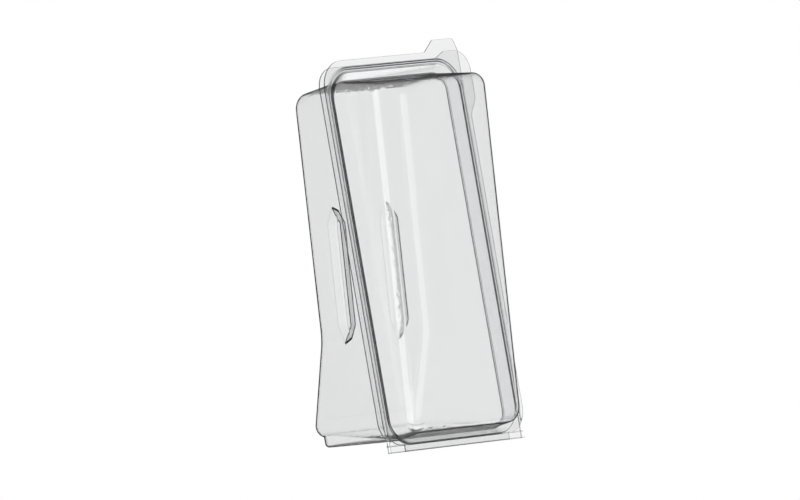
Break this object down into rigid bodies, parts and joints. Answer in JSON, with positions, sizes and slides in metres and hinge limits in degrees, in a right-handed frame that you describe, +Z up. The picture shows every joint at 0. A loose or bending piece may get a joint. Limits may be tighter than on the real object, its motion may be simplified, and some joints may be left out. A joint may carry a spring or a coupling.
{
  "type": "plastic clamshell pack",
  "caption": "Clear thermoformed clamshell pack with a deep tray, a shallow lid, a living hinge strip, two back ribs, a lifting tab and a finger ear.",
  "frame": {"origin": "centre of the closed pack's bounding box, on the surface that it lies on", "axes": "+Z up, +Y towards the lifting tab, +X across the pack; the lid's flat panel faces up"},
  "size_m": [0.1078, 0.2014, 0.0732],
  "materials": {
    "clear_sheet": "clear, glossy"
  },
  "bodies": {
    "tray": {"tray_shell": "clear_sheet"},
    "lid": {"lid_shell": "clear_sheet"}
  },
  "joints": [
    {"name": "living_hinge", "type": "hinge", "parent": "tray", "child": "lid", "pos_m": [-0.0024, -0.10045, 0.06502], "axis": [1, 0, 0], "range_deg": [0, 180]}
  ]
}
